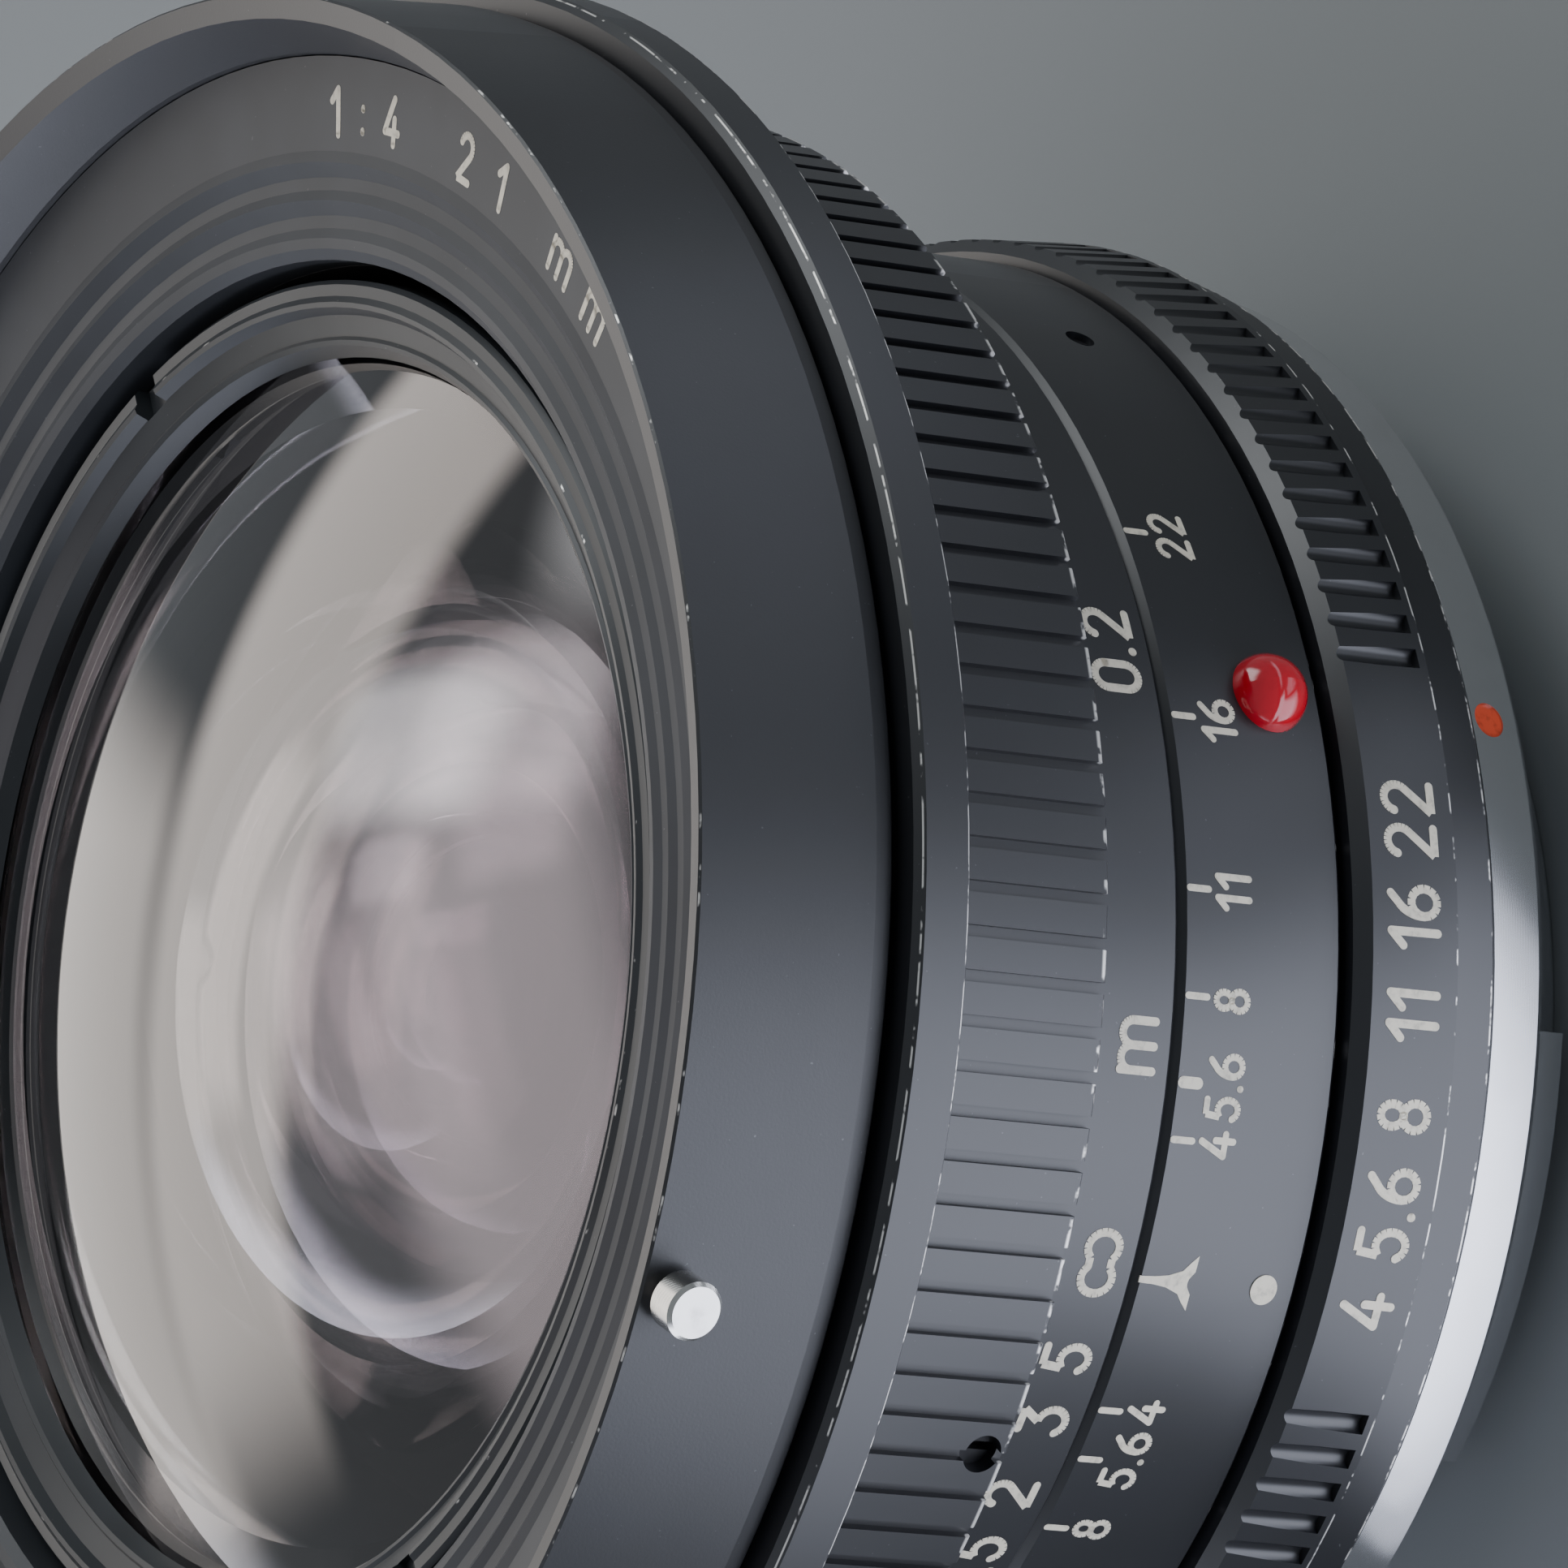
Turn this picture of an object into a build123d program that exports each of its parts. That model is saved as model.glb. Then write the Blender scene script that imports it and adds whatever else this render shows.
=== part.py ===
from build123d import *
import os
from math import asin, atan2, copysign, cos, degrees, hypot, radians, sin, sqrt

# Super-wide manual-focus lens for a reflex camera, 21 mm f/4, in millimetres.
# Frame: the origin is the centre of the bayonet's register face, +Z runs forward along the optical axis,
# and the fixed index marks lie on the -Y side. "Marks" below are angles from that index, positive
# counter-clockwise seen from the front. The lens is drawn focused at infinity and set to f/4.

INDEX_DEG = -90.0

# ---- Bayonet mount
FLANGE_TOP_Z = 3.05
FLANGE_TOP_R = 31.2
FLANGE_LOW_R = 30.95
REGISTER_R = 30.35
REGISTER_INNER_R = 27.2
RELIEF_Z = 0.15
SPIGOT_R = 24.3
THROAT_R = 22.0
SPIGOT_END_Z = -5.5
LUG_R = 27.0
LUG_Z = (-3.6, -1.5)
LUG_WIDTH_DEG = 38.0
LUG_MARKS = (2.0, 122.0, 242.0)
MOUNT_SCREW_R = 25.75
MOUNT_SCREW_MARKS = [62.0 + 120.0 * turn + side for turn in range(3) for side in (-20.0, 20.0)]
MOUNT_DOT_MARK = 42.9
MOUNT_DOT_Z = 2.0
MOUNT_DOT_R = 0.72

# ---- Fixed rear barrel
BARREL_BORE_R = 24.6
BARREL_R = 28.4
BEARING_R = 29.5
BEARING_Z = (18.5, 19.5)
GUIDE_TUBE_R = 26.0
GUIDE_TUBE_END_Z = 26.8
KEY_WIDTH = 3.0
KEY_R = (25.2, 27.4)
KEY_Z = (20.0, 26.8)
KEY_MARKS = (90.0, 270.0)

# ---- Aperture ring and what it carries
APERTURE_TRAVEL_DEG = 34.1
APERTURE_Z = (3.25, 9.75)
APERTURE_BORE_R = 28.46
APERTURE_FLANK_R = (32.2, 31.9)
APERTURE_GRIP_Z = 5.4
APERTURE_TAIL_R = 31.65
APERTURE_CHAMFER = 0.55
APERTURE_GROOVES = 132
APERTURE_PLAIN_GROOVES = 20
APERTURE_FIRST_GROOVE_MARK = 46.0
APERTURE_GROOVE_R = 0.42
CARRIER_R = (20.6, 24.5)
CARRIER_Z = (5.0, 7.4)
CARRIER_SCREW_MARK = 142.0
CARRIER_SCREW_R = 0.8
CAM_R = (20.3, 21.6)
CAM_MARKS = (130.0, 170.0)
CAM_END_Z = -3.5
CLICK_MARK = 300.0
CLICK_Z = 8.0
CLICK_BALL_R = 0.8
CLICK_TRAVEL = 0.25
CLICK_STOPS = 11

# ---- Depth-of-field ring
DEPTH_Z = (9.95, 17.55)
DEPTH_R = 31.0
DEPTH_BORE_R = 28.42
DEPTH_SCREW_MARKS = (78.5, 198.5, 318.5)
DEPTH_SCREW_Z = 13.55
BEAD_MARK = 43.0
BEAD_Z = 12.45
BEAD_R = 1.62
DOT_Z = 11.55
DOT_R = 0.6

# ---- Focusing ring
FOCUS_BAND_R = 31.0
FOCUS_BAND_Z = 17.65
GRIP_R = 35.1
GRIP_REAR_Z = 23.75
GRIP_RIBS = 132
GRIP_FIRST_GROOVE_MARK = 0.42
GRIP_GROOVE_WIDTH = 0.46
GRIP_GROOVE_DEPTH = 0.34
GRIP_GROOVE_END_Z = 31.9
FOCUS_FLANGE_R = 39.05
FOCUS_FLANGE_Z = 32.75
FOCUS_FRONT_Z = 35.05
FOCUS_CHAMFER = 0.35
FOCUS_BORE_R = 29.55
FOCUS_CAVITY_R = 33.3
FOCUS_WEB_FRONT_Z = 27.2
SET_SCREW_MARK = -10.3
SET_SCREW_Z = 24.85
SET_SCREW_R = 0.8
SLEEVE_R = (28.05, 29.5)
SLEEVE_Z = (20.0, 28.9)

# ---- Front barrel and its rings, which slide forward together
SKIRT_R = (26.08, 28.0)
SKIRT_Z = 19.9
WEB_Z = (27.2, 29.2)
WEB_BORE_R = 20.7
NECK_R = (27.6, 29.0)
FRONT_FLANGE_Z = (36.2, 37.4)
FRONT_FLANGE_R = 35.4
RIM_Z = 43.6
RIM_R = 37.5
RIM_LIP = (36.5, 43.32)
WALL_FOOT = (35.5, 40.85)
HOOD_RING_REAR_Z = 35.35
HOOD_RING_REAR_R = 38.0
HOOD_SKIRT_R = (32.2, 33.0)
HOOD_SKIRT_Z = 30.0
NAME_RING_BORE_R = 27.6
NAME_RING_EDGE_Z = 40.6
RETAINER_R = (24.0, 26.9)
RETAINER_TOP_Z = 38.75
RETAINER_SLOT_MARKS = (138.0, 318.0)
PIN_MARKS = (-0.3, 179.7)
PIN_Z = 42.3
PIN_R = 1.15
PIN_NECK_R = 0.85
PIN_TOP_R = 39.4

# ---- Optical cells
FRONT_CELL_R = (26.9, 20.6, 16.6)
FRONT_CELL_Z = (37.2, 29.3, 24.5, 13.35)
IRIS_Z = (9.6, 10.4, 13.3)
IRIS_WALL_R = (14.8, 16.6)
IRIS_STOP_R = 5.4
REAR_CELL_R = 12.6
REAR_CELL_Z = (-2.6, 9.5)

# Each glass element: front vertex z, front radius, rear vertex z, rear radius, edge radius and the
# clear radii of its two faces. A radius is positive when its centre lies behind the surface.
ELEMENTS = [
    (42.3, 58.0, 40.0, 27.0, 25.4, 25.4, 20.5),
    (36.2, 36.0, 34.4, 16.5, 19.0, 19.0, 14.5),
    (28.2, 60.0, 26.6, 15.0, 13.6, 13.6, 11.0),
    (23.6, 28.0, 19.0, -40.0, 11.0, 11.0, 11.0),
    (19.0, -40.0, 16.0, -30.0, 11.0, 11.0, 11.0),
    (15.4, 40.0, 13.2, -90.0, 9.0, 9.0, 9.0),
    (8.0, -25.0, 6.6, 30.0, 8.0, 8.0, 8.0),
    (6.6, 30.0, 3.4, -22.0, 8.0, 8.0, 8.0),
    (2.9, -35.0, 1.1, -20.0, 9.0, 9.0, 9.0),
    (0.7, 90.0, -2.2, -28.0, 9.6, 9.6, 9.6),
]

# ---- Iris
BLADES = 6
BLADE_TURN_DEG = 16.6
BLADE_PIVOT_R = 13.0
BLADE_INNER_R = 4.6
BLADE_OUTER_R = 9.2
BLADE_SWEEP_DEG = 130.0
BLADE_THICKNESS = 0.15
BLADE_PITCH = 0.3
BLADE_FIRST_Z = 10.6
PIVOT_PIN_R = 0.45
DRIVE_PIN_R = 0.4
DRIVE_PIN_AT = (11.5, 3.0)
DRIVE_RING_R = (9.9, 14.7)
DRIVE_RING_Z = (12.4, 13.0)
LINK_MARK = 240.0
LINK_PIN_R = 0.65
LINK_PIN_AT_R = 18.6
LINK_PIN_TOP_Z = 17.3
TAB_HALF_DEG = 5.0

# ---- Stop-down lever
STOP_RING_R = (17.6, 19.9)
STOP_RING_Z = (3.3, 4.4)
LEVER_MARK = 285.0
LEVER_HALF_DEG = 4.0
LEVER_TRAVEL_DEG = 25.0
LEVER_END_Z = -5.0

FIT = 0.05
STEP = 0.01


def save(name, shape):
    export_step(shape, os.path.join("parts", name + ".step"))


def turned(points):
    """Solid of revolution about the optical axis from (radius, z) corners."""
    outline = Polyline([(r, 0, z) for r, z in points], close=True)
    return revolve(make_face(outline), Axis.Z)


def tube(inner_r, outer_r, low_z, high_z):
    return turned([(inner_r, low_z), (outer_r, low_z), (outer_r, high_z), (inner_r, high_z)])


def at_mark(shape, mark):
    """Turn a shape drawn along +X to an angle measured from the index."""
    return Rot(0, 0, INDEX_DEG + mark) * shape


def sector(inner_r, outer_r, low_z, high_z, start_deg, end_deg):
    """Part of a ring between two angles from +X."""
    wide = end_deg - start_deg
    outline = Polyline(
        [(inner_r, 0, low_z), (outer_r, 0, low_z), (outer_r, 0, high_z), (inner_r, 0, high_z)],
        close=True,
    )
    return Rot(0, 0, start_deg) * revolve(make_face(outline), Axis.Z, wide)


def radial_rod(radius, inner_r, outer_r, z):
    """Round rod along +X, from one radius to another."""
    rod = Cylinder(radius, outer_r - inner_r)
    return Pos((inner_r + outer_r) / 2, 0, z) * Rot(0, 90, 0) * rod


def block(inner_r, outer_r, width, low_z, high_z):
    """Rectangular block along +X, centred on the radius in width."""
    size = (outer_r - inner_r, width, high_z - low_z)
    return Pos((inner_r + outer_r) / 2, 0, (low_z + high_z) / 2) * Box(*size)


def sag(radius, r):
    return radius - copysign(sqrt(radius * radius - r * r), radius)


def element(front_z, front_radius, rear_z, rear_radius, edge_r, front_r, rear_r):
    """A glass element with spherical faces and flat annuli outside its clear radii."""

    def face_point(vertex_z, radius, r):
        return (r, 0, vertex_z - sag(radius, r))

    front = [face_point(front_z, front_radius, front_r * part) for part in (0, 0.5, 1)]
    rear = [face_point(rear_z, rear_radius, rear_r * part) for part in (1, 0.5, 0)]
    corners = [front[2], (edge_r, 0, front[2][2]), (edge_r, 0, rear[0][2]), rear[0]]
    distinct = [corners[0]]
    for corner in corners[1:]:
        if corner != distinct[-1]:
            distinct.append(corner)
    edges = [ThreePointArc(*front), Polyline(distinct), ThreePointArc(*rear), Line(rear[2], front[0])]
    return revolve(make_face(Curve() + edges), Axis.Z)


# ---- Bayonet mount and fixed rear barrel


def mount_screw():
    """Countersunk screw, its head just below the register face."""
    head = turned([(0, 0.25), (1.35, 0.25), (0.8, 1.0), (0.8, 6.5), (0, 6.5)])
    driver_slot = Pos(0, 0, 0.25) * Box(3.0, 0.35, 0.7)
    return Pos(MOUNT_SCREW_R, 0, 0) * (head - driver_slot)


def screw_seat():
    seat = turned([(0, -0.5), (1.4, -0.5), (1.4, 0.25), (0.8, 1.0), (0.8, 6.5), (0, 6.5)])
    return Pos(MOUNT_SCREW_R, 0, 0) * seat


def mount_dot():
    return at_mark(radial_rod(MOUNT_DOT_R, 29.8, 30.95, MOUNT_DOT_Z), MOUNT_DOT_MARK)


def bayonet_mount():
    body = turned([
        (THROAT_R, SPIGOT_END_Z),
        (SPIGOT_R - 0.4, SPIGOT_END_Z),
        (SPIGOT_R, SPIGOT_END_Z + 0.4),
        (SPIGOT_R, RELIEF_Z),
        (REGISTER_INNER_R, RELIEF_Z),
        (REGISTER_INNER_R, 0),
        (REGISTER_R, 0),
        (FLANGE_LOW_R, 0.6),
        (FLANGE_TOP_R, FLANGE_TOP_Z - 0.15),
        (FLANGE_TOP_R - 0.15, FLANGE_TOP_Z),
        (THROAT_R, FLANGE_TOP_Z),
    ])
    for mark in LUG_MARKS:
        start = INDEX_DEG + mark - LUG_WIDTH_DEG / 2
        body += sector(SPIGOT_R - 0.5, LUG_R, *LUG_Z, start, start + LUG_WIDTH_DEG)
    for mark in MOUNT_SCREW_MARKS:
        body -= at_mark(screw_seat(), mark)
    dot_hole = radial_rod(MOUNT_DOT_R, 29.8, 32.0, MOUNT_DOT_Z)
    lock_notch = block(29.2, 32.0, 2.2, -1.0, 1.9)
    return body - at_mark(dot_hole, MOUNT_DOT_MARK) - at_mark(lock_notch, MOUNT_DOT_MARK + 90)


def focus_keys():
    return [at_mark(block(*KEY_R, KEY_WIDTH, *KEY_Z), mark) for mark in KEY_MARKS]


def click_well():
    return at_mark(radial_rod(CLICK_BALL_R + FIT, 25.2, 28.6, CLICK_Z), CLICK_MARK)


def click_ball():
    return at_mark(Pos(BARREL_R - CLICK_BALL_R, 0, CLICK_Z) * Sphere(CLICK_BALL_R), CLICK_MARK)


def click_spring():
    """Four-turn coil spring standing in the well under the click ball."""
    wire_r = 0.11
    coil_r = 0.6
    height = 1.3
    path = Helix(pitch=height / 4, height=height, radius=coil_r)
    wire = sweep(Plane(origin=path @ 0, z_dir=path % 0) * Circle(wire_r), path=path)
    return at_mark(Pos(25.35, 0, CLICK_Z) * Rot(0, 90, 0) * wire, CLICK_MARK)


def rear_barrel():
    body = turned([
        (BARREL_BORE_R, FLANGE_TOP_Z),
        (BARREL_R, FLANGE_TOP_Z),
        (BARREL_R, BEARING_Z[0]),
        (BEARING_R, BEARING_Z[0]),
        (BEARING_R, BEARING_Z[1]),
        (GUIDE_TUBE_R, BEARING_Z[1]),
        (GUIDE_TUBE_R, GUIDE_TUBE_END_Z),
        (BARREL_BORE_R, GUIDE_TUBE_END_Z),
    ])
    window_start = INDEX_DEG + CARRIER_SCREW_MARK - APERTURE_TRAVEL_DEG - 3.0
    window_end = INDEX_DEG + CARRIER_SCREW_MARK + 3.0
    body -= sector(BARREL_BORE_R - 1, BARREL_R + 1, 5.2, 7.2, window_start, window_end)
    for key in focus_keys():
        body -= key
    for mark in MOUNT_SCREW_MARKS:
        body -= at_mark(screw_seat(), mark)
    for screw in depth_ring_screws():
        body -= screw
    return body - click_well()


def rear_light_baffle():
    """Black plate and cone around the rear cell, with windows for the meter cam and the lever."""
    body = turned([
        (13.6, -4.6),
        (14.4, -4.6),
        (16.2, 2.0),
        (THROAT_R - FIT, 2.0),
        (THROAT_R - FIT, 2.8),
        (STOP_RING_R[0] - FIT, 2.8),
        (STOP_RING_R[0] - FIT, 4.6),
        (16.2, 4.6),
        (15.4, 2.8),
    ])
    cam_start = INDEX_DEG + CAM_MARKS[0] - APERTURE_TRAVEL_DEG - 3
    cam_window = sector(CAM_R[0] - 0.3, THROAT_R + 1, 1.5, 3.2, cam_start, INDEX_DEG + CAM_MARKS[1] + 3)
    lever_start = INDEX_DEG + LEVER_MARK - LEVER_HALF_DEG - 2
    lever_end = INDEX_DEG + LEVER_MARK + LEVER_HALF_DEG + LEVER_TRAVEL_DEG + 2
    lever_window = sector(17.8, 19.9, 1.5, 3.0, lever_start, lever_end)
    return body - cam_window - lever_window


def depth_ring_screws():
    screw = radial_rod(0.6, 26.8, 30.7, DEPTH_SCREW_Z) - block(30.4, 31.0, 0.3, 12.5, 14.6)
    return [at_mark(screw, mark) for mark in DEPTH_SCREW_MARKS]


def red_index_bead():
    dome = Pos(DEPTH_R - 0.15, 0, BEAD_Z) * Sphere(BEAD_R)
    return at_mark(dome + radial_rod(0.9, 28.8, 30.0, BEAD_Z), BEAD_MARK)


def aperture_index_dot():
    return at_mark(radial_rod(DOT_R, 30.4, DEPTH_R + 0.04, DOT_Z), 0)


def depth_scale_ring():
    low, high = DEPTH_Z
    body = turned([
        (DEPTH_BORE_R, low),
        (DEPTH_R - 0.25, low),
        (DEPTH_R, low + 0.25),
        (DEPTH_R, high - 0.3),
        (DEPTH_R - 0.3, high),
        (DEPTH_BORE_R, high),
    ])
    for mark in DEPTH_SCREW_MARKS:
        body -= at_mark(radial_rod(0.6, 28.0, 32.0, DEPTH_SCREW_Z), mark)
    return body - red_index_bead() - aperture_index_dot()


# ---- Aperture ring group


def aperture_groove():
    low = APERTURE_GRIP_Z + 0.35
    cutter = Pos(0, 0, (low + 10.5) / 2) * Cylinder(APERTURE_GROOVE_R, 10.5 - low)
    return Pos(APERTURE_FLANK_R[0] - 0.02, 0, 0) * cutter


def aperture_ring():
    low, high = APERTURE_Z
    rear_r, front_r = APERTURE_FLANK_R
    body = turned([
        (APERTURE_BORE_R, low),
        (APERTURE_TAIL_R - 0.1, low),
        (APERTURE_TAIL_R, low + 0.1),
        (APERTURE_TAIL_R, APERTURE_GRIP_Z - 0.2),
        (rear_r, APERTURE_GRIP_Z),
        (front_r, high - APERTURE_CHAMFER),
        (front_r - APERTURE_CHAMFER, high),
        (APERTURE_BORE_R, high),
    ])
    pitch = 360.0 / APERTURE_GROOVES
    grooves = APERTURE_GROOVES - APERTURE_PLAIN_GROOVES + 1
    cutters = [
        at_mark(aperture_groove(), APERTURE_FIRST_GROOVE_MARK + pitch * step) for step in range(grooves)
    ]
    body -= cutters
    stop_pitch = APERTURE_TRAVEL_DEG / (CLICK_STOPS - 1)
    notch = Pos(BARREL_R - CLICK_BALL_R + CLICK_TRAVEL, 0, CLICK_Z) * Sphere(CLICK_BALL_R + FIT)
    for step in range(CLICK_STOPS):
        body -= at_mark(notch, CLICK_MARK + stop_pitch * step)
    return body - carrier_screw()


def carrier_screw():
    return at_mark(radial_rod(CARRIER_SCREW_R, 23.0, 31.0, 6.2), CARRIER_SCREW_MARK)


def aperture_carrier():
    body = tube(*CARRIER_R, *CARRIER_Z) + at_mark(block(17.6, 21.0, 3.4, *CARRIER_Z), LINK_MARK)
    return body - carrier_screw() - iris_link_pin()


def meter_cam():
    """Stepped cam behind the carrier, read by the camera's light meter."""
    start, end = (INDEX_DEG + mark for mark in CAM_MARKS)
    half = (start + end) / 2
    tall = sector(*CAM_R, CAM_END_Z, CARRIER_Z[0], start, half)
    return tall + sector(*CAM_R, CAM_END_Z + 1.8, CARRIER_Z[0], half, end)


def iris_link_pin():
    length = LINK_PIN_TOP_Z - CARRIER_Z[0]
    pin = Pos(LINK_PIN_AT_R, 0, CARRIER_Z[0] + length / 2) * Cylinder(LINK_PIN_R, length)
    return at_mark(pin, LINK_MARK)


def stop_down_lever():
    ring = tube(*STOP_RING_R, *STOP_RING_Z)
    start = INDEX_DEG + LEVER_MARK - LEVER_HALF_DEG
    lever = sector(18.0, 19.6, LEVER_END_Z, STOP_RING_Z[1], start, start + 2 * LEVER_HALF_DEG)
    return ring + lever


# ---- Focusing ring group


def grip_groove():
    """Straight groove along the grip, open at its rear edge."""
    low_z = GRIP_REAR_Z - 1
    return block(GRIP_R - GRIP_GROOVE_DEPTH, GRIP_R + 1, GRIP_GROOVE_WIDTH, low_z, GRIP_GROOVE_END_Z)


def focus_set_screws():
    screw = radial_rod(SET_SCREW_R, 28.8, 34.4, SET_SCREW_Z)
    screw -= block(33.9, 35.0, 0.35, SET_SCREW_Z - 1, SET_SCREW_Z + 1)
    return [at_mark(screw, SET_SCREW_MARK + 120.0 * turn) for turn in range(3)]


def focus_ring():
    band_r = FOCUS_BAND_R
    body = turned([
        (BARREL_R + 0.1, FOCUS_BAND_Z),
        (band_r - 0.15, FOCUS_BAND_Z),
        (band_r, FOCUS_BAND_Z + 0.15),
        (band_r, GRIP_REAR_Z),
        (GRIP_R - 0.12, GRIP_REAR_Z),
        (GRIP_R, GRIP_REAR_Z + 0.12),
        (GRIP_R, FOCUS_FLANGE_Z - 0.3),
        (GRIP_R + 0.3, FOCUS_FLANGE_Z),
        (FOCUS_FLANGE_R - 0.08, FOCUS_FLANGE_Z),
        (FOCUS_FLANGE_R, FOCUS_FLANGE_Z + 0.08),
        (FOCUS_FLANGE_R, FOCUS_FRONT_Z - FOCUS_CHAMFER),
        (FOCUS_FLANGE_R - FOCUS_CHAMFER, FOCUS_FRONT_Z),
        (FOCUS_CAVITY_R, FOCUS_FRONT_Z),
        (FOCUS_CAVITY_R, FOCUS_WEB_FRONT_Z + 0.6),
        (FOCUS_CAVITY_R - 0.6, FOCUS_WEB_FRONT_Z),
        (31.2, FOCUS_WEB_FRONT_Z),
        (31.2, 30.0),
        (FOCUS_BORE_R, 30.0),
        (FOCUS_BORE_R, BEARING_Z[0] - 0.1),
        (BARREL_R + 0.1, BEARING_Z[0] - 0.1),
    ])
    pitch = 360.0 / GRIP_RIBS
    cutters = [at_mark(grip_groove(), GRIP_FIRST_GROOVE_MARK + pitch * rib) for rib in range(GRIP_RIBS)]
    body -= cutters
    for turn in range(3):
        body -= at_mark(radial_rod(SET_SCREW_R, 28.0, 36.5, SET_SCREW_Z), SET_SCREW_MARK + 120.0 * turn)
    return body


def helicoid_sleeve():
    body = tube(*SLEEVE_R, *SLEEVE_Z)
    for screw in focus_set_screws():
        body -= screw
    return body


# ---- Front barrel group


def front_barrel():
    body = turned([
        (SKIRT_R[0], SKIRT_Z),
        (SKIRT_R[1], SKIRT_Z),
        (SKIRT_R[1], WEB_Z[1]),
        (NECK_R[1], WEB_Z[1] + 0.2),
        (NECK_R[1], FRONT_FLANGE_Z[0]),
        (FRONT_FLANGE_R, FRONT_FLANGE_Z[0]),
        (FRONT_FLANGE_R, FRONT_FLANGE_Z[1]),
        (NECK_R[0], FRONT_FLANGE_Z[1]),
        (NECK_R[0], WEB_Z[1]),
        (WEB_BORE_R, WEB_Z[1]),
        (WEB_BORE_R, WEB_Z[0]),
        (SKIRT_R[0], WEB_Z[0]),
    ])
    for mark in KEY_MARKS:
        body -= at_mark(block(25.5, KEY_R[1] + 0.1, KEY_WIDTH + 0.1, SKIRT_Z - 1, WEB_Z[0]), mark)
    return body


def hood_ring():
    body = turned([
        (HOOD_SKIRT_R[0], HOOD_SKIRT_Z),
        (HOOD_SKIRT_R[1], HOOD_SKIRT_Z),
        (HOOD_SKIRT_R[1], HOOD_RING_REAR_Z + 0.3),
        (HOOD_SKIRT_R[1] + 0.8, HOOD_RING_REAR_Z),
        (HOOD_RING_REAR_R - 0.25, HOOD_RING_REAR_Z),
        (HOOD_RING_REAR_R - 0.12, HOOD_RING_REAR_Z + 0.12),
        (HOOD_RING_REAR_R, HOOD_RING_REAR_Z + 0.85),
        (RIM_R, RIM_Z - 0.1),
        (RIM_R - 0.1, RIM_Z),
        RIM_LIP,
        WALL_FOOT,
        (FRONT_FLANGE_R + 0.05, NAME_RING_EDGE_Z),
        (FRONT_FLANGE_R + 0.05, 36.15),
        (HOOD_SKIRT_R[0], 36.15),
    ])
    for mark in PIN_MARKS:
        body -= at_mark(radial_rod(0.8, 36.6, 39.0, PIN_Z), mark)
    return body


def hood_pins():
    body = radial_rod(0.8, 36.6, 37.7, PIN_Z) + radial_rod(PIN_NECK_R, 37.55, 38.1, PIN_Z)
    head = radial_rod(PIN_R, 38.05, PIN_TOP_R, PIN_Z)
    rim = head.edges().filter_by(GeomType.CIRCLE).sort_by(Axis.X)[-1]
    body += chamfer(rim, 0.15)
    surface = turned([(30.0, 38.0), (37.85, 38.0), (RIM_R, RIM_Z), (30.0, RIM_Z)])
    seated = radial_rod(0.8, 36.6, 39.0, PIN_Z) & body
    return [at_mark((body - surface) + seated, mark) for mark in PIN_MARKS]


def name_ring():
    """Dished front ring; its inner zone is turned into three low ridges."""
    outer_r = FRONT_FLANGE_R
    return turned([
        (NAME_RING_BORE_R, FRONT_FLANGE_Z[1] + 0.05),
        (outer_r, FRONT_FLANGE_Z[1] + 0.05),
        (outer_r, NAME_RING_EDGE_Z),
        (31.75, 40.12),
        (31.3, 40.22),
        (30.75, 39.78),
        (30.25, 39.78),
        (29.85, 39.94),
        (29.3, 39.5),
        (28.8, 39.5),
        (28.4, 39.66),
        (28.0, 39.55),
        (NAME_RING_BORE_R, 39.2),
    ])


def front_retaining_ring():
    glass_r, outer_r = RETAINER_R
    body = turned([
        (glass_r, 37.35),
        (25.35, 36.65),
        (25.35, FRONT_CELL_Z[0]),
        (outer_r, FRONT_CELL_Z[0]),
        (outer_r, RETAINER_TOP_Z - 0.25),
        (outer_r - 0.2, RETAINER_TOP_Z - 0.05),
        (26.25, RETAINER_TOP_Z - 0.05),
        (26.0, RETAINER_TOP_Z + 0.1),
        (25.8, RETAINER_TOP_Z + 0.05),
        (25.55, 38.35),
        (24.75, 38.0),
        (24.6, 38.1),
        (24.4, 38.0),
    ])
    for mark in RETAINER_SLOT_MARKS:
        body -= at_mark(block(25.5, 28.0, 1.5, 38.0, 40.0), mark)
    return body


# ---- Optical cells, glass and iris


def front_cell():
    outer, middle, inner = FRONT_CELL_R
    top, shoulder, step, low = FRONT_CELL_Z
    return turned([
        (25.45, top),
        (outer, top),
        (outer, shoulder),
        (middle, shoulder),
        (middle, step),
        (inner, step),
        (inner, low),
        (14.2, low),
        (14.2, 21.75),
        (13.65, 21.75),
        (13.65, 25.7),
        (19.05, 25.7),
        (19.05, 30.5),
        (25.45, 30.5),
    ])


def middle_cell():
    return turned([
        (9.05, 13.35),
        (14.15, 13.35),
        (14.15, 21.7),
        (11.05, 21.7),
        (11.05, 17.4),
        (9.4, 16.4),
        (9.4, 15.0),
        (9.05, 15.0),
    ])


def iris_pivot(blade):
    return Rot(0, 0, 360.0 / BLADES * blade)


def iris_housing():
    plate_low, plate_high, top = IRIS_Z
    body = tube(IRIS_STOP_R, IRIS_WALL_R[1], plate_low, plate_high)
    body += tube(*IRIS_WALL_R, plate_high - STEP, top)
    hole = Pos(BLADE_PIVOT_R, 0, plate_low) * Cylinder(PIVOT_PIN_R + FIT, 2.0)
    for blade in range(BLADES):
        body -= iris_pivot(blade) * hole
    start = INDEX_DEG + LINK_MARK - APERTURE_TRAVEL_DEG - TAB_HALF_DEG - 2
    end = INDEX_DEG + LINK_MARK + TAB_HALF_DEG + 2
    return body - sector(14.0, 18.0, DRIVE_RING_Z[0] - 0.1, top + 0.1, start, end)


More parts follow.
